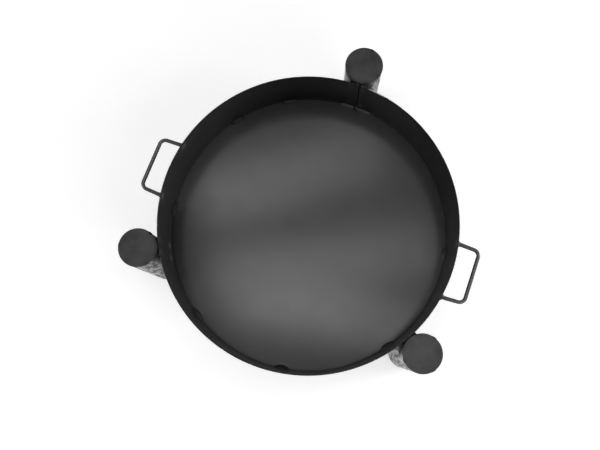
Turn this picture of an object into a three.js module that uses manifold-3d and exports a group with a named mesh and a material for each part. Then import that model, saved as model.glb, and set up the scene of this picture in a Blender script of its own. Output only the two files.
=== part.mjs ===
// Round steel fire pit: a rolled wall with a flat floor set into it, three capped tube legs welded
// to the outside of the wall, and two bent rod handles. Every piece is welded, so nothing moves.
// Units are millimetres and +Z is up. The origin is on the ground, under the middle of the outline.
// +X runs from the left handle to the right handle, and +Y points at the rear leg.

import * as THREE from 'three';
import { mergeVertices } from 'three/addons/utils/BufferGeometryUtils.js';
import Module from 'manifold-3d';

const wasm = await Module();
wasm.setup();

// Clearance kept between neighbouring pieces, where the real ones touch.
const GAP = 0.3;

// Pan
const PAN_R = 300;
const SHEET = 2;
const RIM_Z = 280;
const FLOOR_TOP_Z = 142;
const WALL_BELOW_FLOOR = 4;
const PAN_SEGMENTS = 120;
const SEAM_ANGLE = 89.1;
const SEAM_WIDTH = 2;
const SEAM_TACK_LENGTH = 12;
const SEAM_TACK_DROPS = { upper: 28, middle: 72, lower: 118 };
const FLOOR_BEAD_LEG = 3.4;
const BEAD_SEGMENTS = 90;

// Short beads that hold the floor to the wall from inside
const FLOOR_TACK_ANGLES = [10, 85.6, 93, 118, 142, 190, 237, 279, 324];
const FLOOR_TACK = { radial: 9, along: 18, up: 6 };

// Legs
const TUBE_R = 38.05;
const TUBE_SHEET = 2;
const LEG_ANGLES = { rear: 90, left: 209, right: 330.3 };
const LEG_SEGMENTS = 48;
const CAP_R = 38.5;
const CAP_SHEET = 3;
const LEG_TOP_Z = 290;
const CAP_TACK = { radial: 1.5, along: 4, up: 2.2 };
const CAP_TACK_ANGLES = {
  rear: [-19, 83, 221],
  left: [-40, 68, 191],
  right: [-37, 71, 221],
};

// Vertical beads in the wedge between each leg and the wall
const STITCH_R = 3.6;
const STITCH_SIDE = 13.5;
const STITCHES = {
  upper: { middleZ: 262, length: 30 },
  lower: { middleZ: 166, length: 20 },
};

// Handles
const ROD_R = 4;
const HANDLE_Z = 265;
const HANDLE_REACH = 341;
const HANDLE_ROOT_HALF = 56;
const HANDLE_BAR_HALF = 53.5;
const HANDLE_BEND_R = 12;
const HANDLE_INNER_END = 288;
const HANDLE_STEPS = 56;
const HANDLE_SIDES = 10;
const HANDLE_BEAD = { wide: 8.5, narrow: 4.9, length: 10 };
const HANDLE_ANGLES = { right: 0.9, left: 178.6 };

// Worked out from the sizes above
const WALL_INNER_R = PAN_R - SHEET;
const WALL_BOTTOM_Z = FLOOR_TOP_Z - SHEET - WALL_BELOW_FLOOR;
const FLOOR_R = WALL_INNER_R - GAP - 0.1;
const LEG_OFFSET = PAN_R + GAP + TUBE_R;
const TUBE_TOP_Z = LEG_TOP_Z - CAP_SHEET - GAP;
const PAN_Y = -(LEG_OFFSET + CAP_R - PAN_R) / 2;
const HANDLE_TILT = Math.atan2(
  HANDLE_BAR_HALF - HANDLE_ROOT_HALF,
  HANDLE_REACH - HANDLE_INNER_END,
);

const paint = {
  pan: new THREE.MeshStandardMaterial({ color: 0x303031, roughness: 0.55, metalness: 0.3 }),
  leg: new THREE.MeshStandardMaterial({ color: 0x2a2a2b, roughness: 0.35, metalness: 0.3 }),
  cap: new THREE.MeshStandardMaterial({ color: 0x343435, roughness: 0.6, metalness: 0.3 }),
  handle: new THREE.MeshStandardMaterial({ color: 0x2e2e2f, roughness: 0.45, metalness: 0.3 }),
  weld: new THREE.MeshStandardMaterial({ color: 0x363636, roughness: 0.7, metalness: 0.3 }),
};

const radians = THREE.MathUtils.degToRad;

function toSolid(geometry) {
  const bare = geometry.clone();
  bare.deleteAttribute('normal');
  bare.deleteAttribute('uv');
  const merged = mergeVertices(bare, 1e-4);
  return new wasm.Manifold(new wasm.Mesh({
    numProp: 3,
    vertProperties: merged.attributes.position.array,
    triVerts: new Uint32Array(merged.index.array),
  }));
}

function toGeometry(solid) {
  const mesh = solid.getMesh();
  const geometry = new THREE.BufferGeometry();
  geometry.setAttribute('position', new THREE.BufferAttribute(mesh.vertProperties, 3));
  geometry.setIndex(new THREE.BufferAttribute(mesh.triVerts, 1));
  geometry.computeVertexNormals();
  return geometry;
}

function piece(name, geometry, material) {
  const mesh = new THREE.Mesh(geometry, material);
  mesh.name = name;
  return mesh;
}

// A group turned about the pan's axis, so that its own +X points outwards at that angle.
function turned(angle, ...children) {
  const group = new THREE.Group();
  group.rotation.z = radians(angle);
  group.add(...children);
  return group;
}

// An upright round bar or disc between two heights.
function bar(radius, lowZ, highZ, segments) {
  const geometry = new THREE.CylinderGeometry(radius, radius, highZ - lowZ, segments);
  return geometry.rotateX(Math.PI / 2).translate(0, 0, (lowZ + highZ) / 2);
}

function ellipsoid(halfX, halfY, halfZ) {
  return new THREE.SphereGeometry(1, 10, 6).scale(halfX, halfY, halfZ);
}

// The wall is one strip rolled round until its ends nearly meet, which leaves an open seam.
function wallGeometry() {
  const half = SEAM_WIDTH / 2 / PAN_R;
  const start = radians(SEAM_ANGLE) + half;
  const end = radians(SEAM_ANGLE) + 2 * Math.PI - half;
  const outline = new THREE.Shape();
  outline.absarc(0, 0, PAN_R, start, end, false);
  outline.absarc(0, 0, WALL_INNER_R, end, start, true);
  outline.closePath();
  const geometry = new THREE.ExtrudeGeometry(outline, {
    depth: RIM_Z - WALL_BOTTOM_Z,
    bevelEnabled: false,
    curveSegments: PAN_SEGMENTS / 2,
  });
  return geometry.translate(0, 0, WALL_BOTTOM_Z);
}

// Corner bead all round the underside, between the floor and the wall's lower edge.
function floorBeadGeometry() {
  const topZ = FLOOR_TOP_Z - SHEET - GAP;
  const bulge = FLOOR_BEAD_LEG * 0.62;
  const profile = [
    new THREE.Vector2(FLOOR_R, topZ - FLOOR_BEAD_LEG),
    new THREE.Vector2(FLOOR_R, topZ),
    new THREE.Vector2(FLOOR_R - FLOOR_BEAD_LEG, topZ),
    new THREE.Vector2(FLOOR_R - bulge, topZ - bulge),
    new THREE.Vector2(FLOOR_R, topZ - FLOOR_BEAD_LEG),
  ];
  return new THREE.LatheGeometry(profile, BEAD_SEGMENTS).rotateX(Math.PI / 2);
}

// Bead in the inside corner: the part of an ellipsoid that is above the floor and inside the wall.
function floorTackGeometry() {
  const { radial, along, up } = FLOOR_TACK;
  const lowZ = FLOOR_TOP_Z + GAP;
  const bead = ellipsoid(radial, along, up).translate(WALL_INNER_R, 0, lowZ);
  const room = bar(FLOOR_R, lowZ, RIM_Z, PAN_SEGMENTS);
  return toGeometry(toSolid(bead).intersect(toSolid(room)));
}

function seamTackGeometry() {
  return new THREE.BoxGeometry(SHEET, SEAM_WIDTH - 2 * GAP, SEAM_TACK_LENGTH);
}

function makePan() {
  const pan = new THREE.Group();
  pan.add(piece('pan_wall', wallGeometry(), paint.pan));
  const floor = bar(FLOOR_R, FLOOR_TOP_Z - SHEET, FLOOR_TOP_Z, PAN_SEGMENTS);
  pan.add(piece('pan_floor', floor, paint.pan));
  pan.add(piece('floor_bead_underside', floorBeadGeometry(), paint.weld));
  FLOOR_TACK_ANGLES.forEach((angle, i) => {
    pan.add(turned(angle, piece(`floor_tack_${i + 1}`, floorTackGeometry(), paint.weld)));
  });
  for (const [level, drop] of Object.entries(SEAM_TACK_DROPS)) {
    const tack = piece(`seam_tack_${level}`, seamTackGeometry(), paint.weld);
    tack.position.set(PAN_R - SHEET / 2, 0, RIM_Z - drop);
    pan.add(turned(SEAM_ANGLE, tack));
  }
  return pan;
}

function tubeGeometry() {
  const section = new THREE.Shape();
  section.absarc(0, 0, TUBE_R, 0, 2 * Math.PI, false);
  const bore = new THREE.Path();
  bore.absarc(0, 0, TUBE_R - TUBE_SHEET, 0, 2 * Math.PI, true);
  section.holes.push(bore);
  return new THREE.ExtrudeGeometry(section, {
    depth: TUBE_TOP_Z,
    bevelEnabled: false,
    curveSegments: LEG_SEGMENTS / 2,
  });
}

// Small blob on the cap's edge and the top of the tube, clear of both.
function capTackGeometry() {
  const { radial, along, up } = CAP_TACK;
  const capUnderZ = LEG_TOP_Z - CAP_SHEET;
  const blob = ellipsoid(radial, along, up).translate(CAP_R + GAP, 0, capUnderZ);
  const tube = bar(TUBE_R + GAP, 0, LEG_TOP_Z, LEG_SEGMENTS);
  const cap = bar(CAP_R + GAP, capUnderZ - GAP, LEG_TOP_Z + GAP, LEG_SEGMENTS);
  return toGeometry(toSolid(blob).subtract(toSolid(tube)).subtract(toSolid(cap)));
}

// Round-ended upright bead, cut back to the wedge between the tube and the pan's wall.
// In the leg's own frame the tube stands on the origin and the pan's axis is at -LEG_OFFSET.
function stitchGeometry(side, { middleZ, length }) {
  const tubeX = -Math.sqrt(TUBE_R ** 2 - STITCH_SIDE ** 2);
  const wallX = Math.sqrt(PAN_R ** 2 - STITCH_SIDE ** 2) - LEG_OFFSET;
  const bead = new THREE.CapsuleGeometry(STITCH_R, length - 2 * STITCH_R, 3, 8);
  bead.rotateX(Math.PI / 2).translate((tubeX + wallX) / 2, side * STITCH_SIDE, middleZ);
  const tube = bar(TUBE_R + GAP, 0, LEG_TOP_Z, LEG_SEGMENTS);
  const wall = bar(PAN_R + GAP, 0, LEG_TOP_Z, PAN_SEGMENTS).translate(-LEG_OFFSET, 0, 0);
  return toGeometry(toSolid(bead).subtract(toSolid(tube)).subtract(toSolid(wall)));
}

function makeLeg(name, angle) {
  const leg = new THREE.Group();
  leg.position.set(LEG_OFFSET, 0, 0);
  leg.add(piece(`${name}_leg_tube`, tubeGeometry(), paint.leg));
  const cap = bar(CAP_R, LEG_TOP_Z - CAP_SHEET, LEG_TOP_Z, LEG_SEGMENTS);
  leg.add(piece(`${name}_leg_cap`, cap, paint.cap));
  CAP_TACK_ANGLES[name].forEach((tackAngle, i) => {
    const tack = piece(`${name}_leg_cap_tack_${i + 1}`, capTackGeometry(), paint.weld);
    leg.add(turned(tackAngle - angle, tack));
  });
  for (const [level, stitch] of Object.entries(STITCHES)) {
    leg.add(piece(`${name}_leg_stitch_${level}_a`, stitchGeometry(-1, stitch), paint.weld));
    leg.add(piece(`${name}_leg_stitch_${level}_b`, stitchGeometry(1, stitch), paint.weld));
  }
  return turned(angle, leg);
}

// The handle's centre line, seen from above: out from the wall, along the grip and back.
class HandleLine extends THREE.Curve {
  constructor() {
    super();
    const bend = Math.PI / 2 + HANDLE_TILT;
    const cornerX = HANDLE_REACH - HANDLE_BEND_R;
    const cornerY = HANDLE_BAR_HALF - HANDLE_BEND_R * Math.tan(bend / 2);
    const bendStartX = cornerX + HANDLE_BEND_R * Math.cos(bend);
    const bendStartY = cornerY + HANDLE_BEND_R * Math.sin(bend);
    this.line = new THREE.Path();
    this.line.moveTo(HANDLE_INNER_END, -HANDLE_ROOT_HALF);
    this.line.lineTo(bendStartX, -bendStartY);
    this.line.absarc(cornerX, -cornerY, HANDLE_BEND_R, -bend, 0, false);
    this.line.absarc(cornerX, cornerY, HANDLE_BEND_R, 0, bend, false);
    this.line.lineTo(HANDLE_INNER_END, HANDLE_ROOT_HALF);
  }

  getPoint(t, target = new THREE.Vector3()) {
    const { x, y } = this.line.getPoint(t);
    return target.set(x, y, HANDLE_Z);
  }
}

function panCutter() {
  return toSolid(bar(PAN_R + GAP, 0, LEG_TOP_Z, 2 * PAN_SEGMENTS));
}

// Round rod swept along the handle's line, its two ends shaped to the wall.
function handleGeometry() {
  const section = new THREE.Shape();
  section.absarc(0, 0, ROD_R, 0, 2 * Math.PI, false);
  const rod = new THREE.ExtrudeGeometry(section, {
    steps: HANDLE_STEPS,
    curveSegments: HANDLE_SIDES / 2,
    extrudePath: new HandleLine(),
  });
  return toGeometry(toSolid(rod).subtract(panCutter()));
}

// Cone-shaped bead round the rod where it meets the wall.
function handleBeadGeometry(side) {
  const { wide, narrow, length } = HANDLE_BEAD;
  const rootX = Math.sqrt(PAN_R ** 2 - HANDLE_ROOT_HALF ** 2);
  const rootHalf = HANDLE_ROOT_HALF + (rootX - HANDLE_INNER_END) * Math.tan(HANDLE_TILT);
  const place = (geometry) => geometry
    .rotateZ(-Math.PI / 2 + side * HANDLE_TILT)
    .translate(rootX, side * rootHalf, HANDLE_Z);
  const cone = place(new THREE.CylinderGeometry(narrow, wide, length, 2 * HANDLE_SIDES));
  const hole = place(new THREE.CylinderGeometry(ROD_R + GAP, ROD_R + GAP, 40, 2 * HANDLE_SIDES));
  return toGeometry(toSolid(cone).subtract(toSolid(hole)).subtract(panCutter()));
}

function makeHandle(name, angle) {
  return turned(
    angle,
    piece(`${name}_handle_rod`, handleGeometry(), paint.handle),
    piece(`${name}_handle_bead_a`, handleBeadGeometry(-1), paint.weld),
    piece(`${name}_handle_bead_b`, handleBeadGeometry(1), paint.weld),
  );
}

const firePit = new THREE.Group();
firePit.position.y = PAN_Y;
firePit.add(makePan());
for (const [name, angle] of Object.entries(LEG_ANGLES)) {
  firePit.add(makeLeg(name, angle));
}
for (const [name, angle] of Object.entries(HANDLE_ANGLES)) {
  firePit.add(makeHandle(name, angle));
}

export default firePit;
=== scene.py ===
"""Round steel fire pit: a rolled wall with a flat floor, three capped tube legs and two bent rod handles.

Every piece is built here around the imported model. Lengths are in metres and +Z is up. Angles are in
degrees about the pan's upright axis: 0 points at the right handle, and 90 at the rear leg.
"""

import math

import bpy
import numpy as np
from mathutils import Matrix, Quaternion, Vector


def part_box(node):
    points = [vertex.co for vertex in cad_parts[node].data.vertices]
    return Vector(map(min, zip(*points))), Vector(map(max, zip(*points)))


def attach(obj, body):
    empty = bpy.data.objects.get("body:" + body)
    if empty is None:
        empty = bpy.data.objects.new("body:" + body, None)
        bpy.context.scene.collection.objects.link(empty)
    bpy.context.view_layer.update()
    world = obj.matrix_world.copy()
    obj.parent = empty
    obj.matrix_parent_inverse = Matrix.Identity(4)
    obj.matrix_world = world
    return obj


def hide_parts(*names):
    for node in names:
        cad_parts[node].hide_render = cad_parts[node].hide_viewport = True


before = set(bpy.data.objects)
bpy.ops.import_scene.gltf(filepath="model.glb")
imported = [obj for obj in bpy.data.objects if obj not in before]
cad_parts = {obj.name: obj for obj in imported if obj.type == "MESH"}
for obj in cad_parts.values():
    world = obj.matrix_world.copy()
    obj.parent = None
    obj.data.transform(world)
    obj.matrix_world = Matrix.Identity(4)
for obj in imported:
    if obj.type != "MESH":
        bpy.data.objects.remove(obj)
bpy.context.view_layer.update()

MM = 0.001
TAU = 2 * math.pi
UPRIGHT = np.array([0, 0, 1.0])
SHARP_FROM = 38

# Wall
EDGE_R = 0.35 * MM
WALL_STEPS = 720
WALL_ROWS = 26
WALL_OUT_OF_ROUND = 0.15 * MM
WALL_TWIST = 0.05 * MM
SEAM_ANGLE = 89.1
SEAM_WIDTH = 2.7 * MM
SEAM_DEPTH = 1.5 * MM

# Painted shade on the wall: shares, then angles and reaches in degrees. It darkens the rear of its inside,
# with a lighter patch in it, and more low down. Outside, painted shade sits beside the legs.
REAR_SHADE, REAR_SHADE_ANGLE, REAR_SHADE_HALF, REAR_SHADE_FADE = 0.5, 85, 60, 5
LIGHTER_PATCH, LIGHTER_PATCH_ANGLE, LIGHTER_PATCH_REACH = 0.7, 80, 18
LOW_SHADE, LOW_SHADE_ANGLE, LOW_SHADE_REACH = 0.7, 104, 26
LOW_SHADE_HEIGHT = 110 * MM
LEG_SHADE_REACH = 24 * MM
# A painted glint: the rim's edge gets more light chips at this angle, beside the rear leg, over this reach.
RIM_GLINT_ANGLE = 82
RIM_GLINT_REACH = 16 * MM

# Floor. A patch is (the angles it covers, its distance from the wall, its reach).
FLOOR_SPOKES = 288
FLOOR_RINGS = 60
FLOOR_GAP = 0.03 * MM
FLOOR_EDGE_R = 0.12 * MM
# Painted shade in the floor's corner with the wall: beside the left and right legs, and at the foot of the
# seam.
SHADE_PATCHES = ((range(196, 217, 2), 16 * MM, 36 * MM), (range(312, 335, 2), 10 * MM, 36 * MM),
                ((SEAM_ANGLE,), 2 * MM, 6 * MM))
DUST_PATCH = (range(148, 182, 2), 6 * MM, 24 * MM)
DUST_SHARE = 5
TACK_HEAT_IN = 4 * MM
TACK_HEAT_REACH = 9 * MM

# Welds of the pan
UNDERSIDE_STEPS = 2080
UNDERSIDE_LEG = 3.1 * MM
UNDERSIDE_CROWN = 0.55 * MM
UNDERSIDE_RIPPLE = 0.16 * MM
UNDERSIDE_PITCH = 3.2 * MM
FLOOR_TACK_IN = 8.5 * MM
FLOOR_TACK_HALF = 17.5 * MM
FLOOR_TACK_UP = 5.2 * MM
FLOOR_TACK_RIPPLE = 0.17 * MM
FLOOR_TACK_PITCH = 2.6 * MM
SEAM_TACK_HALF = 1.7 * MM
SEAM_TACK_BACK_HALF = 0.7 * MM
SEAM_TACK_PROUD = 0.4 * MM
SEAM_TACK_RIPPLE = 0.1 * MM
SEAM_TACK_PITCH = 1.9 * MM
BEAD_SUNK = 0.15 * MM

# Floor tacks by number: how dark the painted shade line at each one's toe is, and which ones have a darker,
# duller finish, whose darker tone is painted shade
TOE_SHADE = {1: 1.0, 2: 0.1, 3: 0.1, 4: 0.2, 5: 0.3, 6: 0.5, 7: 1.0, 8: 1.0, 9: 0.9}
SHADED_TACKS = (4, 5, 6)

# Marks that the welds outside left in the wall: (reach along, reach up, pull, burn). The pull is how far
# a weld drew the sheet out, and the burn how strongly it marked the paint. A leg weld's reach up is a
# share of its half height.
LEG_WELD_MARKS = {"upper": (5 * MM, 0.8, 0.15 * MM, 0.15), "lower": (5 * MM, 0.8, 0.55 * MM, 0.8)}
HANDLE_WELD_MARK = (7 * MM, 8 * MM, 0.2 * MM, 0.45)

# Legs. A cap weld with a bite in it takes the darkest weld paint, a painted shade.
LEGS = ("rear", "left", "right")
TUBE_SHEET = 2 * MM
TUBE_EDGE_R = 0.3 * MM
TUBE_STEPS = 180
TUBE_ROWS = 24
TUBE_SEAMS = {"rear": 250, "left": 232, "right": 20}
TUBE_SEAM_GROUND, TUBE_SEAM_GROUND_REACH = 0.07 * MM, 2.2 * MM
TUBE_SEAM_RAISED, TUBE_SEAM_RAISED_REACH = 0.6 * MM, 1.1 * MM
# Painted shade on each tube, by leg: in the crevices beside its upper welds. It is also darkened where it
# meets the wall.
TUBE_CREVICE_SHADE = {"rear": 0.6, "left": 1.0, "right": 0.6}
CREVICE_REACH = (15 * MM, 15 * MM, 60 * MM)
CONTACT_REACH = (8 * MM, 8 * MM, 110 * MM)
CAP_EDGE_R = 0.8 * MM
CAP_STEPS = 216
CAP_SPREAD = (0.1, 0.25, 0.45, 0.62, 0.78, 0.9, 0.96)
# The cap's edge ring, from this share of its radius, is darkened, a painted shade, and chipped.
CAP_EDGE_SHADE_AND_WEAR_FROM = 0.988
CAP_FLAT = 15 * MM
# Painted shade on each cap: at the flats of its welds, and along the side that faces the pan, where it meets
# the wall.
CAP_SHADE = {"rear": 1.0, "left": 0.8, "right": 0.4}
CAP_BITES = {("rear", 2): 2.2 * MM, ("left", 2): 1.4 * MM}
CAP_BITE_HALF = 3.5 * MM
CAP_WELD_SHADE_REACH = 5 * MM
CAP_SIDE_SHADE = (range(-30, 31, 6), 4 * MM)

# Welds of the legs
CAP_TACK_HALF = 6.6 * MM
CAP_TACK_DEEP = 1.75 * MM
CAP_TACK_TALL = 2.3 * MM
CAP_TACK_PITCH = 2.1 * MM
CAP_TACK_INSET = 0.7 * MM
CAP_TACK_DROP = 0.2 * MM
STITCH_SIDE = 13.5 * MM
STITCH_HALF_WIDTH = 3.9 * MM
STITCH_ROOT = 9 * MM
STITCH_CROWN = 0.8 * MM
STITCH_RIPPLE = 0.2 * MM
STITCH_PITCH = 2.7 * MM
STITCH_STEP = 0.45 * MM
STITCH_SUNK = 0.05 * MM
STITCH_HEAT_REACH = 5 * MM

# Handles and their welds
HANDLES = ("right", "left")
HANDLE_REACH = 340.8 * MM
ROD_R = 4 * MM
HANDLE_ROOT_HALF = 56 * MM
HANDLE_BAR_HALF = 53.5 * MM
HANDLE_BEND_R = 12 * MM
HANDLE_INNER_END = 288 * MM
ROD_SUNK = 0.2 * MM
ROD_END_SHADE_REACH = 13 * MM
HANDLE_BEAD_R = 7.8 * MM
HANDLE_BEAD_LENGTH = 6 * MM
HANDLE_BEAD_CROWN = 0.35 * MM
HANDLE_BEAD_RIPPLE = 0.22 * MM
HANDLE_BEAD_WAVES = 15

# Studio. A band of air is (height of the direction, glow). The camera's place, aim and roll put it above
# the pan, measured from the middle of the rim.
FLOOR_SPREAD = 7.0
FLOOR_WHITE = 0.8
FLOOR_GLOW, FLOOR_GLOW_FROM = 0.53, 1.2
FAR_GLOW, FAR_GLOW_FROM = 0.95, 4.0
LIGHT_HEIGHT = 2.6
AIR_BANDS = ((0.0, 0.5), (0.35, 0.06), (0.86, 0.06), (0.94, 0.68))
CAMERA_LENS, CAMERA_SENSOR = 43.16, 36
CAMERA_PLACE = (0.0979, -0.2128, 1.4035)
CAMERA_AIM = (-0.01126, -0.01241, 0)
CAMERA_ROLL = -8.6818

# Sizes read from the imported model
floor_lo, floor_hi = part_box("pan_floor")
wall_lo, wall_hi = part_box("pan_wall")
AXIS = ((floor_lo.x + floor_hi.x) / 2, (floor_lo.y + floor_hi.y) / 2)
PAN_R = round((wall_hi.x - wall_lo.x) / 2, 4)
WALL_IN = PAN_R - round(floor_hi.z - floor_lo.z, 4)
WALL_LOW_Z, RIM_Z = wall_lo.z, wall_hi.z
FLOOR_LOW_Z, FLOOR_Z = floor_lo.z, floor_hi.z


def node_angle(node, centre):
    """The angle, about an upright axis through a centre, at which the middle of a CAD node lies."""
    x, y, _ = np.mean([v.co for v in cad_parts[node].data.vertices], axis=0)
    return math.degrees(math.atan2(y - centre[1], x - centre[0]))


FLOOR_TACKS = {number: node_angle(f"floor_tack_{number}", AXIS) % 360 for number in range(1, 10)}
LEG_ANGLES = {leg: node_angle(f"{leg}_leg_cap", AXIS) % 360 for leg in LEGS}
HANDLE_ANGLES = {side: node_angle(f"{side}_handle_rod", AXIS) % 360 for side in HANDLES}


# ---------------------------------------------------------------- mesh code

def loft(rings, closed_path):
    """Points and faces of a skin over rings of equally many points, closed into a loop or with flat ends."""
    rings = np.asarray(rings, float)
    count, size = rings.shape[:2]
    i = np.arange(count if closed_path else count - 1)[:, None]
    j = np.arange(size)[None, :]
    here, there = i * size, (i + 1) % count * size
    after = (j + 1) % size
    faces = np.stack([here + j, here + after, there + after, there + j], -1).reshape(-1, 4).tolist()
    if not closed_path:
        faces.append(list(range(size))[::-1])
        faces.append(list(range((count - 1) * size, count * size)))
    return rings.reshape(-1, 3), faces


def polar(r, turn, z, centre=AXIS):
    """Points at radii, turns in radians and heights about an upright axis, the pan's if none is given."""
    return np.stack([centre[0] + r * np.cos(turn), centre[1] + r * np.sin(turn), z + 0 * (r + turn)], -1)


def placed(points, angle, centre=AXIS):
    """Points of a frame whose +X points away from the pan at an angle, moved to the shared frame."""
    turn = math.radians(angle)
    x, y, z = points[..., 0], points[..., 1], points[..., 2]
    return np.stack([centre[0] + x * math.cos(turn) - y * math.sin(turn),
                     centre[1] + x * math.sin(turn) + y * math.cos(turn), z], -1)


def strip_section(inner, outer, low, high, edge, rows):
    """Ring of points (r, z) round an upright strip with rounded edges and rows of points on its faces."""
    corners = [(outer - edge, low + edge), (outer - edge, high - edge),
               (inner + edge, high - edge), (inner + edge, low + edge)]
    points = []
    for k, (r, z) in enumerate(corners):
        for a in np.radians(np.linspace(-90, 0, 4) + 90 * k):
            points.append((r + edge * math.cos(a), z + edge * math.sin(a)))
        if k in (0, 2):
            (face_r, start), end = points[-1], corners[k + 1][1]
            points += [(face_r, start + (end - start) * t) for t in np.linspace(0, 1, rows + 1)[1:-1]]
    return np.array(points)


def disc_section(radius, low, high, edge, spread, steps):
    """Columns r and z of a flat disc's rounded half section: out over the top, and back underneath."""
    flat = radius - edge
    top = [(share * flat, high) for share in spread]
    top += [(flat + edge * math.cos(a), high - edge + edge * math.sin(a))
            for a in np.radians(np.linspace(90, 0, steps))]
    section = np.array(top + [(r, low + high - z) for r, z in reversed(top)])
    return section[:, :1], section[:, 1:]


def gap_from(turn, angle):
    """How far turns in radians are from an angle in degrees: in radians, from -pi to pi."""
    return (turn - math.radians(angle) + math.pi) % TAU - math.pi


def hump(gap, reach):
    """1 where the gap is 0, and falling away smoothly over the reach on both sides."""
    return np.exp(-(gap / reach) ** 2)


def near(points, spots):
    """How close each point is to the nearest spot, from 0 to 1. A spot is (centre, reach)."""
    points = np.asarray(points, float)
    closeness = np.zeros(len(points))
    for centre, reach in spots:
        closeness = np.maximum(closeness, hump(points - np.asarray(centre), np.asarray(reach)).prod(1))
    return closeness


def ripple(along, pitch, across, bow=0.35, seed=0.0):
    """Height, from -1 to 1, of the bowed waves that a weld pool leaves behind it."""
    wander = 0.35 * np.sin(along / pitch * 0.83 + seed) + 0.2 * np.sin(along / pitch * 2.1 + 2 * seed)
    phase = along / pitch + wander - bow * (1 - (2 * across - 1) ** 2)
    return np.cos(TAU * phase)


def add_piece(name, points, faces, material, slot, node, **attributes):
    """One mesh object that rides on the frame, takes a finish and stands for a CAD node. Its slot is not
    used.
    """
    mesh = bpy.data.meshes.new(name)
    mesh.from_pydata(np.asarray(points, float).tolist(), [], faces)
    mesh.validate()
    turn_faces_out(mesh)
    mesh.shade_smooth()
    mesh.set_sharp_from_angle(angle=math.radians(SHARP_FROM))
    for key, values in attributes.items():
        layer = mesh.attributes.new(key, "FLOAT", "POINT")
        layer.data.foreach_set("value", np.asarray(values, np.float32).ravel())
    mesh.materials.append(material)
    piece = bpy.data.objects.new(name, mesh)
    bpy.context.scene.collection.objects.link(piece)
    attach(piece, "root")
    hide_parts(node)


def turn_faces_out(mesh):
    """Flips the whole skin if its volume comes out negative, so that its faces look outwards."""
    mesh.calc_loop_triangles()
    points = np.zeros(len(mesh.vertices) * 3)
    mesh.vertices.foreach_get("co", points)
    points = points.reshape(-1, 3)
    corners = np.zeros(len(mesh.loop_triangles) * 3, np.int32)
    mesh.loop_triangles.foreach_get("vertices", corners)
    a, b, c = (points[corners.reshape(-1, 3)[:, k]] for k in range(3))
    if np.einsum("ij,ij->", a, np.cross(b, c)) < 0:
        mesh.flip_normals()


# ---------------------------------------------------------------- materials

class Paint:
    """A node material with one Principled shader, built up node by node in the object's own space."""

    def __init__(self, name, roughness, specular=0.5):
        self.material = bpy.data.materials.new(name)
        self.material.use_nodes = True
        self.tree = self.material.node_tree
        self.shader = self.tree.nodes["Principled BSDF"]
        self.shader.inputs["Roughness"].default_value = roughness
        self.shader.inputs["Specular IOR Level"].default_value = specular
        self.place = self.node("ShaderNodeTexCoord").outputs["Object"]

    def node(self, kind, settings=None, **inputs):
        """A new node. Its inputs go by name, or as i0, i1 and so on by number."""
        made = self.tree.nodes.new(kind)
        for key, value in (settings or {}).items():
            setattr(made, key, value)
        for key, value in inputs.items():
            numbered = key[0] == "i" and key[1:].isdigit()
            self.feed(made.inputs[int(key[1:]) if numbered else key], value)
        return made

    def feed(self, slot, value):
        """Links a socket to another, or sets it to a value."""
        if isinstance(value, bpy.types.NodeSocket):
            self.tree.links.new(value, slot)
        else:
            slot.default_value = value

    def noise(self, scale, detail, roughness, stretch=(1, 1, 1), seed=0.0):
        place = self.place
        if seed or stretch != (1, 1, 1):
            move = self.node("ShaderNodeMapping", Vector=place, Scale=stretch,
                             Location=(seed, 0.37 * seed, 0.71 * seed))
            place = move.outputs["Vector"]
        made = self.node("ShaderNodeTexNoise", Vector=place, Scale=scale, Detail=detail, Roughness=roughness)
        return made.outputs["Fac"]

    def ranged(self, value, low, high, to_low, to_high):
        made = self.node("ShaderNodeMapRange", {"clamp": True, "interpolation_type": "SMOOTHSTEP"},
                         Value=value, i1=low, i2=high, i3=to_low, i4=to_high)
        return made.outputs["Result"]

    def maths(self, operation, first, second, third=0.5):
        made = self.node("ShaderNodeMath", {"operation": operation}, i0=first, i1=second, i2=third)
        return made.outputs["Value"]

    def attribute(self, name):
        return self.node("ShaderNodeAttribute", {"attribute_name": name}).outputs["Fac"]

    def mix(self, amount, first, second):
        """A blend of two colours, which are this node's inputs 6 and 7."""
        made = self.node("ShaderNodeMix", {"data_type": "RGBA"}, Factor=amount, i6=first, i7=second)
        return made.outputs[2]

    def bump(self, height, distance, normal=None):
        made = self.node("ShaderNodeBump", Height=height, Distance=distance)
        if normal is not None:
            self.feed(made.inputs["Normal"], normal)
        return made.outputs["Normal"]


def grey(value, warm=0.0):
    """A grey, or a warm one where warm is above 0."""
    return (value * (1 + warm), value, value * (1 - warm), 1)


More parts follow.
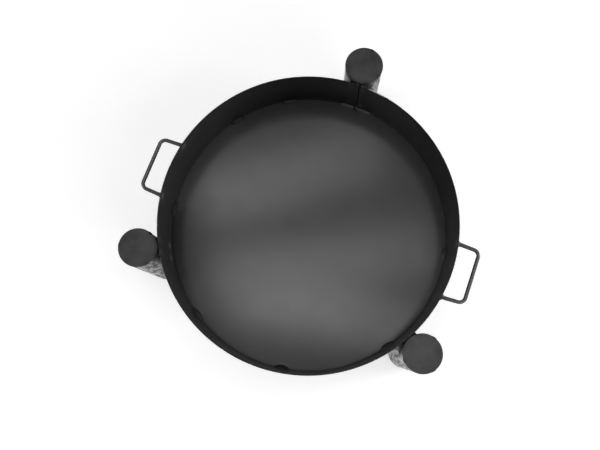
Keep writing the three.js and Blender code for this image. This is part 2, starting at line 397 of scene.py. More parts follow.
def painted(name, shade, roughness, peel=0.03 * MM, mottle=0.12, cloud=11, grain=0.0, runs=0.0, blotch=0.0,
            heat=False, burnt_shade=0.04, edge=False, shadow=False, dulling=0.2, **finish):
    """Black paint on steel: cloudy tone and sheen, a fine orange-peel skin and dust.

    A piece's attributes add to it: "burn" for weld heat, "edge" for a darker edge, a painted shade, with
    wear chips on it, and "shadow" for painted shade where above 0. The roughness changes by dulling times
    the shadow.
    """
    paint = Paint(name, roughness, **finish)
    clouds = paint.ranged(paint.noise(cloud, 4, 0.6), 0.3, 0.7, 0, 1)
    tone = paint.mix(clouds, grey(shade * (1 - mottle)), grey(shade * (1 + mottle)))
    dust = paint.ranged(paint.noise(2600, 1, 0.4, seed=7.7), 0.72, 0.8, 0, 0.5)
    tone = paint.mix(dust, tone, grey(shade * 2.6, 0.03))
    fine = paint.noise(950, 2, 0.5, seed=3.1)
    sheen = paint.ranged(paint.noise(23, 5, 0.65, seed=1.3), 0.25, 0.75, roughness * 0.9, roughness * 1.12)
    sheen = paint.maths("MULTIPLY_ADD", paint.maths("SUBTRACT", fine, 0.5), 0.05, sheen)
    if heat:
        patchy = paint.ranged(paint.noise(160, 4, 0.7, seed=5.2), 0.3, 0.62, 0.35, 1)
        burnt = paint.maths("MULTIPLY", paint.attribute("burn"), patchy)
        tone = paint.mix(burnt, tone, grey(burnt_shade, 0.04))
        sheen = paint.maths("MULTIPLY_ADD", burnt, 0.12, sheen)
    if edge:
        # Painted shade: the edge's tone is darker. Its light chips are wear, and where the edge attribute is
        # above 1 they are a painted glint.
        edge_shade_glint_and_wear = paint.attribute("edge")
        tone = paint.mix(edge_shade_glint_and_wear, tone, grey(shade * 0.4))
        grit = paint.maths("MULTIPLY_ADD", edge_shade_glint_and_wear, 0.25, paint.noise(160, 5, 0.8, seed=9.4))
        chips = paint.maths("MULTIPLY", edge_shade_glint_and_wear, paint.ranged(grit, 0.83, 0.92, 0, 1))
        tone = paint.mix(chips, tone, grey(0.4, 0.02))
        sheen = paint.maths("MULTIPLY_ADD", chips, -0.06, sheen)
    if shadow:
        # Painted shade: darker tone where the shadow attribute is above 0.
        painted_shade = paint.attribute("shadow")
        tone = paint.mix(painted_shade, tone, grey(shade * 0.12))
        sheen = paint.maths("MULTIPLY_ADD", painted_shade, dulling, sheen)
    if blotch:
        patches = paint.noise(115, 5, 0.7, stretch=(1, 1, 0.25), seed=2.8)
        sheen = paint.maths("ADD", sheen, paint.ranged(patches, 0.4, 0.68, 0, blotch))
    normal = paint.bump(fine, peel)
    if grain:
        normal = paint.bump(paint.noise(330, 3, 0.6, seed=4.4), grain, normal)
    if runs:
        normal = paint.bump(paint.noise(130, 4, 0.65, stretch=(1, 1, 0.1), seed=6.6), runs, normal)
    paint.feed(paint.shader.inputs["Base Color"], tone)
    paint.feed(paint.shader.inputs["Roughness"], sheen)
    paint.feed(paint.shader.inputs["Normal"], normal)
    return paint.material


def weld_painted(name, shade, roughness, specular, grain, **changes):
    """The same paint over a grainy weld."""
    return painted(name, shade, roughness, peel=0.05 * MM, specular=specular, grain=grain, **changes)


wall_paint = painted("pan_wall_paint", 0.024, 0.38, specular=0.36, heat=True, burnt_shade=0.3, edge=True,
                     shadow=True)
floor_paint = painted("pan_floor_paint", 0.032, 0.165, peel=0.01 * MM, mottle=0.07, heat=True, shadow=True,
                      dulling=-0.02)
leg_paint = painted("leg_tube_paint", 0.016, 0.18, runs=0.35 * MM, blotch=0.5, heat=True, edge=True,
                    shadow=True, dulling=0.45)
cap_paint = painted("leg_cap_paint", 0.033, 0.42, peel=0.05 * MM, mottle=0.5, cloud=17, edge=True,
                    shadow=True)
rod_paint = painted("handle_rod_paint", 0.045, 0.25, specular=0.9, shadow=True, dulling=0.45)
cap_weld_paint = weld_painted("cap_weld_paint", 0.05, 0.2, specular=0.9, grain=0.12 * MM)
weld_paint = weld_painted("weld_bead_paint", 0.016, 0.4, specular=0.4, grain=0.08 * MM)
tack_paint = weld_painted("floor_tack_paint", 0.026, 0.4, specular=0.42, grain=0.08 * MM, shadow=True)
# A darker, duller copy of the tack paint: its darker tone is painted shade.
shaded_tack_paint = weld_painted("dull_shaded_tack_paint", 0.014, 0.55, specular=0.25, grain=0.08 * MM, shadow=True)
# The darkest weld paint is painted shade: on the welds in the wedges beside the legs, behind the seam and in
# the caps' bites.
weld_shade_paint = weld_painted("painted_shade_weld_paint", 0.006, 0.6, specular=0.15, grain=0.1 * MM)


# ---------------------------------------------------------------- pan

def weld_spots():
    """The welds outside the wall: (angle, distance sideways, height, reach along, reach up, pull, burn)."""
    spots = []
    for leg, angle in LEG_ANGLES.items():
        for level, (reach, share, pull, burn) in LEG_WELD_MARKS.items():
            low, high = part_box(f"{leg}_leg_stitch_{level}_a")
            height, half = (low.z + high.z) / 2, (high.z - low.z) / 2
            for side in (-STITCH_SIDE, STITCH_SIDE):
                spots.append((angle, side, height, reach, share * half, pull, burn))
    for name, angle in HANDLE_ANGLES.items():
        low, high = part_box(f"{name}_handle_rod")
        for side in (-HANDLE_ROOT_HALF, HANDLE_ROOT_HALF):
            spots.append((angle, side, (low.z + high.z) / 2, *HANDLE_WELD_MARK))
    return spots


def wall_pull(turn, z):
    """How far the wall stands out from a true ring, and how strongly weld heat marked it."""
    push = -WALL_OUT_OF_ROUND * (1 + 0.6 * np.sin(2 * turn + 1.0) + 0.4 * np.sin(5 * turn + 2.0))
    push = push + WALL_TWIST * np.sin(3 * turn) * (z - FLOOR_Z) / (RIM_Z - FLOOR_Z)
    burnt = 0 * push
    for angle, side, height, reach_along, reach_up, pull, burn in weld_spots():
        mark = hump(gap_from(turn, angle) * PAN_R - side, reach_along) * hump(z - height, reach_up)
        push = push + pull * mark
        burnt = np.maximum(burnt, burn * mark)
    return push, burnt


def wall_painted_shade(turn, r, z):
    """Painted shade on the wall: at the rear of its inside, and on its outer face beside the legs."""
    past_rear_shade = (np.abs(gap_from(turn, REAR_SHADE_ANGLE)) - math.radians(REAR_SHADE_HALF)) / math.radians(REAR_SHADE_FADE)
    lighter_patch = LIGHTER_PATCH * hump(gap_from(turn, LIGHTER_PATCH_ANGLE), math.radians(LIGHTER_PATCH_REACH))
    height = np.clip((z - FLOOR_Z) / LOW_SHADE_HEIGHT, 0, 1)
    low_down = 1 - height * height * (3 - 2 * height)
    low_shade = LOW_SHADE * low_down * hump(gap_from(turn, LOW_SHADE_ANGLE), math.radians(LOW_SHADE_REACH))
    rear_shade = REAR_SHADE / (1 + np.exp(past_rear_shade)) * (1 - lighter_patch)
    inside = r < (WALL_IN + PAN_R) / 2
    outer_face = r > PAN_R - EDGE_R / 9
    painted_shade = np.clip(rear_shade + low_shade, 0, 1) * inside
    for angle in LEG_ANGLES.values():
        beside_leg = hump(gap_from(turn, angle) * PAN_R, LEG_SHADE_REACH)
        painted_shade = np.maximum(painted_shade, beside_leg * outer_face)
    return painted_shade


def wall_sheet():
    """The rolled strip, a little out of round, with pull marks at the welds and an open seam."""
    half_gap = math.degrees(SEAM_WIDTH / 2 / PAN_R)
    softened = math.degrees(EDGE_R / PAN_R)
    first, last = SEAM_ANGLE + half_gap, SEAM_ANGLE + 360 - half_gap
    angles = np.linspace(first, last, WALL_STEPS + 1)[1:-1]
    angles = np.concatenate([[first, first + softened], angles, [last - softened, last]])
    turn = np.radians(angles)[:, None]
    section = strip_section(WALL_IN, PAN_R, WALL_LOW_Z, RIM_Z, EDGE_R, WALL_ROWS)
    r, z = section[None, :, 0], section[None, :, 1]
    push, burnt = wall_pull(turn, z)
    # Painted shade: darker at the rear inside, most low down, and outside beside the legs.
    painted_shade = wall_painted_shade(turn, r, z)
    middle_r, middle_z = (WALL_IN + PAN_R) / 2, (WALL_LOW_Z + RIM_Z) / 2
    # The rim's edges are darkened, a painted shade, and chipped. Beside the rear leg they get more light
    # chips, a painted glint.
    on_edge = np.abs(z - middle_z) > RIM_Z - middle_z - 1.01 * EDGE_R
    edge_shade_glint_and_wear = on_edge * (1 + hump(gap_from(turn, RIM_GLINT_ANGLE) * PAN_R, RIM_GLINT_REACH))
    at_end = np.zeros_like(turn)
    at_end[[0, -1]] = 0.7 * EDGE_R
    rings = polar(r + push - at_end * np.sign(r - middle_r), turn, z - at_end * np.sign(z - middle_z))
    points, faces = loft(rings, closed_path=False)
    add_piece("pan_wall_sheet", points, faces, wall_paint, "pan_paint", "pan_wall",
              burn=burnt, edge=edge_shade_glint_and_wear, shadow=painted_shade)


def on_floor(patch):
    """The spots of one patch on the floor."""
    angles, from_wall, reach = patch
    return [(polar(WALL_IN - from_wall, math.radians(angle), FLOOR_Z), reach) for angle in angles]


def floor_sheet():
    """The flat disc, very slightly buckled between its welds, with painted shade and dust near the wall."""
    radius = WALL_IN - FLOOR_GAP
    spread = np.linspace(0, 1, FLOOR_RINGS)[1:-1] ** 0.85
    r, z = disc_section(radius, FLOOR_LOW_Z, FLOOR_Z, FLOOR_EDGE_R, spread, 4)
    turn = np.linspace(0, TAU, FLOOR_SPOKES, endpoint=False)[None, :]
    x, y = r * np.cos(turn), r * np.sin(turn)
    buckle = 0.16 * np.sin(9.5 * x + 1.2) * np.cos(8 * y - 0.4) - 0.12 * np.sin(14 * y + 6 * x)
    inside = np.clip(1 - (r / radius) ** 2, 0, 1)
    points, faces = loft(polar(r, turn, z + inside * buckle * MM), closed_path=False)
    heated = on_floor((FLOOR_TACKS.values(), TACK_HEAT_IN, TACK_HEAT_REACH))
    # Painted shade near the wall, and dust.
    shaded_spots = [spot for patch in SHADE_PATCHES for spot in on_floor(patch)]
    dusty = on_floor(DUST_PATCH)
    add_piece("pan_floor_sheet", points, faces, floor_paint, "pan_paint", "pan_floor",
              burn=near(points, heated), shadow=near(points, shaded_spots) - DUST_SHARE * near(points, dusty))


def underside_bead():
    """Fillet weld all round under the floor, laid with even ripples and a few starts and stops."""
    turn = np.linspace(0, TAU, UNDERSIDE_STEPS, endpoint=False)[:, None]
    across = np.linspace(0, 1, 8)[None, :]
    size = UNDERSIDE_LEG * (1 + 0.07 * np.sin(9 * turn + 0.5) + 0.05 * np.sin(31 * turn))
    size = size * (1 + 0.22 * hump(np.sin(7.5 * turn / 2 + 0.3), 0.02))
    wave = UNDERSIDE_RIPPLE * ripple(turn * WALL_IN, UNDERSIDE_PITCH, across)
    lean = math.sqrt(0.5) * (UNDERSIDE_CROWN + wave) * np.sin(math.pi * across)
    corner = np.zeros_like(turn)
    r = WALL_IN - np.concatenate([size * across + lean, corner], 1)
    z = FLOOR_LOW_Z - np.concatenate([size * (1 - across) + lean, corner], 1)
    points, faces = loft(polar(r, turn, z), closed_path=True)
    add_piece("underside_weld", points, faces, weld_paint, "weld_bead", "floor_bead_underside")


def floor_tack(number, angle):
    """Short convex bead in the inside corner, thick in the middle and thin at both ends."""
    along = np.linspace(-1, 1, 74)[:, None]
    across = np.linspace(0, 1, 14)[None, :]
    half = FLOOR_TACK_HALF * (1 + 0.06 * math.sin(3.7 * number))
    full = np.clip(1 - np.abs(along) ** 2.3, 0.0004, 1) ** 0.55
    reach = FLOOR_TACK_IN * full * (1 + 0.05 * np.sin(5 * along + number))
    rise = FLOOR_TACK_UP * full * (1 + 0.05 * np.cos(4 * along + number))
    crown = np.sin(math.pi * across)
    wave = FLOOR_TACK_RIPPLE * ripple(along * half, FLOOR_TACK_PITCH, across, 0.5, number)
    wave = wave * crown * np.minimum(full * 1.5, 1)
    bend = across * math.pi / 2
    swell = 1 - 0.18 * crown
    corner = np.zeros_like(along)
    inward = np.concatenate([(reach * swell + wave) * np.sin(bend), corner], 1)
    upward = np.concatenate([(rise * swell + wave) * np.cos(bend), corner], 1)
    turn = math.radians(angle) + along * half / WALL_IN
    # Painted shade: a dark line where the bead's toe meets the floor, and at its ends.
    toe_shade_line = np.concatenate([np.clip((across - 0.72) / 0.18, 0, 1), [[0.0]]], 1)
    toe_shade_line = np.maximum(toe_shade_line, np.clip((np.abs(along) - 0.93) / 0.05, 0, 1)) * TOE_SHADE[number]
    points, faces = loft(polar(WALL_IN - inward, turn, FLOOR_Z + upward), closed_path=False)
    paint = shaded_tack_paint if number in SHADED_TACKS else tack_paint
    add_piece(f"floor_weld_{number}", points, faces, paint, "weld_bead", f"floor_tack_{number}", shadow=toe_shade_line)


def seam_tack(level):
    """Small oval nugget that bridges the seam from behind, so that the seam stays an open line inside."""
    low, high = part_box(f"seam_tack_{level}")
    height, half = (low.z + high.z) / 2, (high.z - low.z) / 2
    up = np.linspace(-1, 1, 30)[:, None]
    across = np.linspace(0, 1, 10)[None, :]
    full = np.clip(1 - up ** 2, 0.0009, 1) ** 0.5
    wave = SEAM_TACK_RIPPLE * ripple(up * half, SEAM_TACK_PITCH, across)
    proud = (SEAM_TACK_PROUD + wave) * full * np.sin(math.pi * across)
    back = SEAM_TACK_BACK_HALF * full * (1, -1)
    side = np.concatenate([SEAM_TACK_HALF * full * (2 * across - 1), back], 1)
    r = np.concatenate([WALL_IN + SEAM_DEPTH - proud, 0 * back + PAN_R - BEAD_SUNK], 1)
    rings = polar(r, math.radians(SEAM_ANGLE) + side / WALL_IN, height + up * half)
    points, faces = loft(rings, closed_path=False)
    # Its darkest paint is a painted shade behind the seam.
    add_piece(f"seam_weld_{level}", points, faces, weld_shade_paint, "weld_bead", f"seam_tack_{level}")


wall_sheet()
floor_sheet()
underside_bead()
for number, angle in FLOOR_TACKS.items():
    floor_tack(number, angle)
for level in ("upper", "middle", "lower"):
    seam_tack(level)


# ---------------------------------------------------------------- legs

def stitch_spots(leg, level, reach=None):
    """The two welds beside a leg at one level as spots, with their own size unless a reach is given."""
    spots = []
    for side in "ab":
        low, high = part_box(f"{leg}_leg_stitch_{level}_{side}")
        own_reach = (STITCH_HEAT_REACH, STITCH_HEAT_REACH, (high.z - low.z) / 2)
        spots.append(((low + high) / 2, reach or own_reach))
    return spots


def leg_tube(leg, centre, radius):
    """Cut length of welded tube, its own lengthwise seam flat outside and raised inside."""
    low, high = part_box(f"{leg}_leg_tube")[0].z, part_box(f"{leg}_leg_cap")[0].z
    section = strip_section(radius - TUBE_SHEET, radius, low, high, TUBE_EDGE_R, TUBE_ROWS)
    r, z = section[None, :, 0], section[None, :, 1]
    turn = np.linspace(0, TAU, TUBE_STEPS, endpoint=False)[:, None]
    from_seam = gap_from(turn, TUBE_SEAMS[leg]) * radius
    ground = -TUBE_SEAM_GROUND * hump(from_seam, TUBE_SEAM_GROUND_REACH)
    raised = -TUBE_SEAM_RAISED * hump(from_seam, TUBE_SEAM_RAISED_REACH)
    push = np.where(r > radius - TUBE_SHEET / 2, ground, raised)
    points, faces = loft(polar(r + push, turn, z, centre), closed_path=True)
    heated = stitch_spots(leg, "upper") + stitch_spots(leg, "lower")
    # Painted shade where the tube meets the wall and in the crevices beside its upper welds.
    wall_middle = (WALL_LOW_Z + RIM_Z) / 2
    contact = [(polar(PAN_R, math.radians(LEG_ANGLES[leg]), wall_middle), CONTACT_REACH)]
    crevice_shade = TUBE_CREVICE_SHADE[leg] * near(points, stitch_spots(leg, "upper", CREVICE_REACH))
    add_piece(f"{leg}_tube", points, faces, leg_paint, "leg_paint", f"{leg}_leg_tube",
              burn=near(points, heated), edge=(z < low + 1.01 * TUBE_EDGE_R) + 0 * turn,
              shadow=np.maximum(crevice_shade, near(points, contact)))


def leg_cap(leg, centre, radius, tacks):
    """Disc cut from plate, ground to a short flat at each of its welds."""
    low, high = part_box(f"{leg}_leg_cap")
    turn = np.linspace(0, TAU, CAP_STEPS, endpoint=False)[None, :]
    outline = np.full_like(turn, radius)
    half = math.asin(CAP_FLAT / 2 / radius)
    for number, tack in enumerate(tacks, 1):
        gap = gap_from(turn, tack)
        flat = radius * math.cos(half) / np.cos(np.clip(gap, -half, half))
        outline = np.where(np.abs(gap) < half, np.minimum(outline, flat), outline)
        outline = outline - CAP_BITES.get((leg, number), 0) * np.exp(-(gap * radius / CAP_BITE_HALF) ** 4)
    r, z = disc_section(radius, low.z, high.z, CAP_EDGE_R, CAP_SPREAD, 6)
    points, faces = loft(polar(outline * r / radius, turn, z, centre), closed_path=False)
    to_pan = math.degrees(math.atan2(AXIS[1] - centre[1], AXIS[0] - centre[0]))
    sides, side_reach = CAP_SIDE_SHADE
    # Painted shade at each weld's flat and along the side that faces the pan.
    cap_shaded_spots = [(tack, CAP_WELD_SHADE_REACH) for tack in tacks]
    cap_shaded_spots += [(to_pan + side, side_reach) for side in sides]
    spots = [(polar(radius, math.radians(angle), high.z, centre), reach) for angle, reach in cap_shaded_spots]
    add_piece(f"{leg}_cap", points, faces, cap_paint, "cap_paint", f"{leg}_leg_cap",
              edge=(r > CAP_EDGE_SHADE_AND_WEAR_FROM * radius) + 0 * turn, shadow=CAP_SHADE[leg] * near(points, spots))


def cap_tack(leg, number, centre, radius, angle):
    """Flattened blob of weld over the cap's edge and the top of the tube."""
    along = np.linspace(-1, 1, 40)[:, None]
    round_ = np.linspace(0, TAU, 20, endpoint=False)[None, :]
    full = np.clip(1 - np.abs(along) ** 2.6, 0.0009, 1) ** 0.5
    side = along * CAP_TACK_HALF * (1 + 0.1 * math.sin(2.3 * number + angle))
    wave = 1 + 0.07 * ripple(side, CAP_TACK_PITCH, round_ / TAU, 0.4, number)
    out = radius - CAP_TACK_INSET + CAP_TACK_DEEP * full * wave * np.cos(round_) - side ** 2 / (2 * radius)
    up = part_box(f"{leg}_leg_cap")[0].z - CAP_TACK_DROP + CAP_TACK_TALL * full * wave * np.sin(round_)
    rings = placed(np.stack([out, side + 0 * out, up], -1), angle, centre)
    points, faces = loft(rings, closed_path=False)
    # A weld in a cap's bite takes the darkest paint, a painted shade.
    paint = weld_shade_paint if (leg, number) in CAP_BITES else cap_weld_paint
    add_piece(f"{leg}_cap_weld_{number}", points, faces, paint, "weld_bead", f"{leg}_leg_cap_tack_{number}")


def stitch(leg, level, letter, side, angle, centre, radius):
    """Upright fillet weld in the wedge between the tube and the pan's wall."""
    node = f"{leg}_leg_stitch_{level}_{letter}"
    low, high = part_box(node)
    up = np.linspace(-1, 1, max(40, int((high.z - low.z) / STITCH_STEP)))[:, None]
    z = (low.z + high.z) / 2 + up * (high.z - low.z) / 2
    full = np.clip(1 - np.abs(up) ** 5, 0.0009, 1) ** 0.6
    deepest = STITCH_SIDE - STITCH_ROOT / 2
    end = deepest + (STITCH_HALF_WIDTH + STITCH_ROOT / 2) * full * (1 + 0.05 * np.sin(7 * up + angle))
    wall_y = deepest + (end - deepest) * np.linspace(0, 1, 5)[None, :]
    tube_y = wall_y[:, ::-1]
    offset = math.hypot(centre[0] - AXIS[0], centre[1] - AXIS[1])
    wall_x = np.sqrt((PAN_R - STITCH_SUNK) ** 2 - wall_y ** 2) - offset
    tube_x = -np.sqrt((radius - STITCH_SUNK) ** 2 - tube_y ** 2)
    across = np.linspace(0, 1, 9)[None, 1:-1]
    wave = STITCH_RIPPLE * ripple(z, STITCH_PITCH, across, 0.45, angle)
    face_x = wall_x[:, -1:] + (tube_x[:, :1] - wall_x[:, -1:]) * across
    face_y = end + np.sin(math.pi * across) * (STITCH_CROWN + wave) * full
    x = np.concatenate([wall_x, face_x, tube_x], 1)
    y = side * np.concatenate([wall_y, face_y, tube_y], 1)
    rings = placed(np.stack([x, y, z + 0 * x], -1), angle, centre)
    points, faces = loft(rings, closed_path=False)
    # Its darkest paint is a painted shade for the wedge.
    add_piece(f"{leg}_weld_{level}_{letter}", points, faces, weld_shade_paint, "weld_bead", node)


for leg, angle in LEG_ANGLES.items():
    cap_lo, cap_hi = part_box(f"{leg}_leg_cap")
    tube_lo, tube_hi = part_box(f"{leg}_leg_tube")
    centre = ((cap_lo.x + cap_hi.x) / 2, (cap_lo.y + cap_hi.y) / 2)
    tube_r = round((tube_hi.x - tube_lo.x) / 2, 5)
    cap_r = round((cap_hi.x - cap_lo.x) / 2, 5)
    tacks = [node_angle(f"{leg}_leg_cap_tack_{number}", centre) for number in (1, 2, 3)]
    leg_tube(leg, centre, tube_r)
    leg_cap(leg, centre, cap_r, tacks)
    for number, tack in enumerate(tacks, 1):
        cap_tack(leg, number, centre, cap_r, tack)
    for level in ("upper", "lower"):
        stitch(leg, level, "a", -1, angle, centre, tube_r)
        stitch(leg, level, "b", 1, angle, centre, tube_r)


# ---------------------------------------------------------------- handles

def handle_line():
    """Centre line of a handle in its own frame, seen from above, with +X pointing away from the pan."""
    inner = math.sqrt(PAN_R ** 2 - HANDLE_ROOT_HALF ** 2)
    tilt = math.atan2(HANDLE_BAR_HALF - HANDLE_ROOT_HALF, HANDLE_REACH - HANDLE_INNER_END)
    bend = math.pi / 2 + tilt
    corner_x = HANDLE_REACH - HANDLE_BEND_R
    corner_y = HANDLE_BAR_HALF - HANDLE_BEND_R * math.tan(bend / 2)
    start_x = corner_x + HANDLE_BEND_R * math.cos(bend)
    start_y = corner_y + HANDLE_BEND_R * math.sin(bend)
    root_y = start_y - (start_x - inner) * math.tan(tilt)
    straight = np.linspace((inner, root_y), (start_x, start_y), 24)
    arc = [(corner_x + HANDLE_BEND_R * math.cos(a), corner_y + HANDLE_BEND_R * math.sin(a))
           for a in np.linspace(bend, 0, 26)[1:]]
    half = np.concatenate([straight, arc])
    grip = np.linspace((HANDLE_REACH, corner_y), (HANDLE_REACH, -corner_y), 60)[1:-1]
    return np.concatenate([half, grip, half[::-1] * (1, -1)])


def to_wall(point, direction, radius):
    """Moves points along a direction until they lie on a cylinder about the origin."""
    flat_p, flat_d = point[..., :2], direction[:2]
    a = flat_d @ flat_d
    b = flat_p @ flat_d
    c = (flat_p ** 2).sum(-1) - radius ** 2
    return point + ((-b + np.sqrt(b * b - a * c)) / a)[..., None] * direction


def handle_rod(name, angle, line, height):
    """Round rod bent cold, a touch flattened on the bends, its ends shaped to the wall and darkened with
    painted shade.
    """
    tangent = np.gradient(line, axis=0)
    tangent /= np.linalg.norm(tangent, axis=1)[:, None]
    curl = np.abs(np.gradient(np.unwrap(np.arctan2(tangent[:, 1], tangent[:, 0]))))
    curl = np.convolve(curl / curl.max(), np.ones(9) / 9, "same")[:, None]
    round_ = np.linspace(0, TAU, 32, endpoint=False)[None, :]
    wide = ROD_R * (1 - 0.035 * curl) * np.cos(round_)
    tall = ROD_R * (1 + 0.02 * curl) * np.sin(round_)
    rings = np.stack([line[:, :1] + tangent[:, 1:] * wide, line[:, 1:] - tangent[:, :1] * wide,
                      height + tall], -1)
    rings[0] = to_wall(rings[0], np.array([*tangent[0], 0]), PAN_R - ROD_SUNK)
    rings[-1] = to_wall(rings[-1], np.array([*-tangent[-1], 0]), PAN_R - ROD_SUNK)
    points, faces = loft(placed(rings, angle), closed_path=False)
    # Painted shade at both ends, where the rod meets the wall.
    roots = [(placed(np.array([*line[end], height]), angle), ROD_END_SHADE_REACH) for end in (0, -1)]
    add_piece(f"{name}_handle", points, faces, rod_paint, "handle_paint", f"{name}_handle_rod",
              shadow=near(points, roots))


def handle_weld(name, angle, line, height, end, letter):
    """Fillet weld all round a rod end, lumpy where it starts and stops."""
    root = np.array([*line[end], height])
    away = line[2 if end == 0 else -3] - line[end]
    away = np.array([*away / np.linalg.norm(away), 0])
    round_ = np.linspace(0, TAU, 72, endpoint=False)[None, :]
    ring_dir = np.cos(round_)[..., None] * np.cross(UPRIGHT, away) + np.sin(round_)[..., None] * UPRIGHT
    seed = angle + 40 * end
    foot = HANDLE_BEAD_R * (1 + 0.07 * np.sin(3 * round_ + seed) + 0.04 * np.sin(7 * round_))
    top = HANDLE_BEAD_LENGTH * (1 + 0.1 * np.sin(2 * round_ + seed) + 0.05 * np.cos(5 * round_))
    steps = np.linspace(0, 1, 9)[:, None]
    crown = np.sin(math.pi * steps)
    wave = HANDLE_BEAD_RIPPLE * ripple(round_, TAU / HANDLE_BEAD_WAVES, steps, 0.4, seed) * crown
    spread = ROD_R + (foot - ROD_R) * (1 - steps) ** 1.35 + wave * 0.7 + HANDLE_BEAD_CROWN * crown
    rise = top * steps ** 1.2 + wave * 0.7
    skin = to_wall(root + spread[..., None] * ring_dir, away, PAN_R - BEAD_SUNK) + rise[..., None] * away
    core = to_wall(root + (ROD_R - 0.5 * MM) * ring_dir, away, PAN_R - BEAD_SUNK)
    rings = np.concatenate([skin, core + top[..., None] * away, core])
    points, faces = loft(placed(rings, angle), closed_path=True)
    add_piece(f"{name}_handle_weld_{letter}", points, faces, weld_paint, "weld_bead",
              f"{name}_handle_bead_{letter}")


for name, angle in HANDLE_ANGLES.items():
    rod_lo, rod_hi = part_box(f"{name}_handle_rod")
    line, height = handle_line(), (rod_lo.z + rod_hi.z) / 2
    handle_rod(name, angle, line, height)
    handle_weld(name, angle, line, height, 0, "b")
    handle_weld(name, angle, line, height, -1, "a")


# ---------------------------------------------------------------- studio

def studio_floor():
    """Plain pale table top, a large flat disc that glows a little more far away."""
    turn = np.linspace(0, TAU, 96, endpoint=False)[None, :]
    rings = polar(np.array([[FLOOR_SPREAD], [1.5], [0.4]]), turn, 0, centre=(0, 0))
    points, faces = loft(rings, closed_path=False)
    del faces[-2]  # the loft's outer end, which would cover the whole disc
    mesh = bpy.data.meshes.new("studio_floor")
    mesh.from_pydata(points.tolist(), [], faces)
    table = bpy.data.objects.new("studio_floor", mesh)
    bpy.context.scene.collection.objects.link(table)
    white = Paint("studio_floor_white", 0.7, specular=0.2)
    clouds = white.ranged(white.noise(3, 2, 0.5), 0.3, 0.7, 0, 1)
    tone = white.mix(clouds, grey(FLOOR_WHITE * 0.99), grey(FLOOR_WHITE))
    white.feed(white.shader.inputs["Base Color"], tone)
    white.feed(white.shader.inputs["Emission Color"], grey(1.0))
    away = white.node("ShaderNodeVectorMath", {"operation": "LENGTH"}, i0=white.place).outputs["Value"]
    glow = white.ranged(away, FLOOR_GLOW_FROM, FAR_GLOW_FROM, FLOOR_GLOW, FAR_GLOW)
    white.feed(white.shader.inputs["Emission Strength"], glow)
    mesh.materials.append(white.material)


def area_light(name, shape, size, energy, place, rotation):
    """An area light that the camera can't see, at a place measured from the middle of the pan's floor."""
    data = bpy.data.lights.new(name, "AREA")
    data.shape = shape
    data.size, data.size_y = size
    data.energy = energy
    light = bpy.data.objects.new(name, data)
    light.location = Vector((*AXIS, FLOOR_Z)) + Vector(place)
    light.rotation_euler = rotation
    light.visible_camera = False
    bpy.context.scene.collection.objects.link(light)
    return data


def softbox(name, centre, size, turn, glow, fade):
    """Rectangular light facing down. It glows in the middle, and changes by a share of fade to its ends."""
    data = area_light(name, "RECTANGLE", size, size[0] * size[1] * math.pi, (*centre, LIGHT_HEIGHT),
                      (0, 0, math.radians(turn)))
    data.use_nodes = True
    tree = data.node_tree
    across = tree.nodes.new("ShaderNodeNewGeometry").outputs["Parametric"]
    split = tree.nodes.new("ShaderNodeSeparateXYZ")
    ramp = tree.nodes.new("ShaderNodeMapRange")
    ramp.inputs["To Min"].default_value = glow * (1 - fade / 2)
    ramp.inputs["To Max"].default_value = glow * (1 + fade / 2)
    tree.links.new(across, split.inputs[0])
    tree.links.new(split.outputs["X"], ramp.inputs["Value"])
    tree.links.new(ramp.outputs["Result"], tree.nodes["Emission"].inputs["Strength"])


def side_light(name, place, size, glow):
    """Square light that faces the middle of the pan's floor."""
    facing = (-Vector(place)).to_track_quat("-Z", "Y").to_euler()
    area_light(name, "SQUARE", (size, size), glow * size * size * math.pi, place, facing)


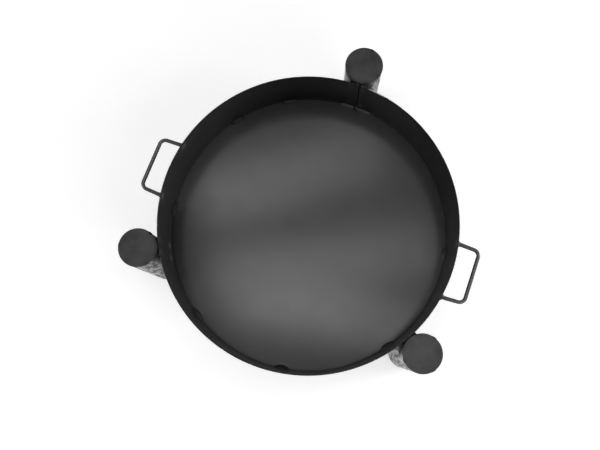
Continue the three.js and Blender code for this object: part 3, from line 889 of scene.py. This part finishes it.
def studio_air(bands):
    """Plain surroundings, lit in level bands, that the camera itself sees as white."""
    world = bpy.data.worlds.new("studio_air")
    world.use_nodes = True
    tree = world.node_tree
    split = tree.nodes.new("ShaderNodeSeparateXYZ")
    ramp = tree.nodes.new("ShaderNodeValToRGB")
    seen = tree.nodes.new("ShaderNodeMapRange")
    ramp.color_ramp.interpolation = "EASE"
    for _ in bands[2:]:
        ramp.color_ramp.elements.new(0.5)
    for stop, (height, glow) in zip(ramp.color_ramp.elements, bands):
        stop.position = height
        stop.color = grey(glow)
    tree.links.new(tree.nodes.new("ShaderNodeTexCoord").outputs["Generated"], split.inputs[0])
    tree.links.new(split.outputs["Z"], ramp.inputs["Fac"])
    tree.links.new(tree.nodes.new("ShaderNodeLightPath").outputs["Is Camera Ray"], seen.inputs["Value"])
    tree.links.new(ramp.outputs["Color"], seen.inputs["To Min"])
    tree.links.new(seen.outputs["Result"], tree.nodes["Background"].inputs["Strength"])
    tree.nodes["Background"].inputs["Color"].default_value = grey(1.0)
    bpy.context.scene.world = world


def add_camera():
    """The camera looks almost straight down from above the pan."""
    lens = bpy.data.cameras.new("camera")
    lens.sensor_width = CAMERA_SENSOR
    lens.lens = CAMERA_LENS
    camera = bpy.data.objects.new("camera", lens)
    rim_middle = Vector((*AXIS, RIM_Z))
    facing = (Vector(CAMERA_AIM) - Vector(CAMERA_PLACE)).to_track_quat("-Z", "Y")
    facing = facing @ Quaternion((0, 0, 1), math.radians(CAMERA_ROLL))
    camera.matrix_world = Matrix.LocRotScale(rim_middle + Vector(CAMERA_PLACE), facing, None)
    bpy.context.scene.collection.objects.link(camera)
    bpy.context.scene.camera = camera


studio_floor()
softbox("softbox_far", centre=(-0.381, 0.642), size=(1.078, 0.327), turn=36.1, glow=2.24, fade=-0.64)
softbox("softbox_middle", centre=(-0.016, 0.220), size=(1.283, 0.288), turn=27.6, glow=2.27, fade=-0.48)
softbox("softbox_near", centre=(0.238, -0.023), size=(1.370, 0.304), turn=6.8, glow=2.82, fade=-1.42)
side_light("left_light", place=(-2.1, -0.98, 0.94), size=1.2, glow=4.2)
side_light("right_light", place=(2.2, 1.0, 0.56), size=1.0, glow=9.6)
side_light("front_light", place=(1.4, -0.9, 1.86), size=1.2, glow=3)
studio_air(AIR_BANDS)
add_camera()
bpy.context.scene.view_settings.view_transform = "Standard"
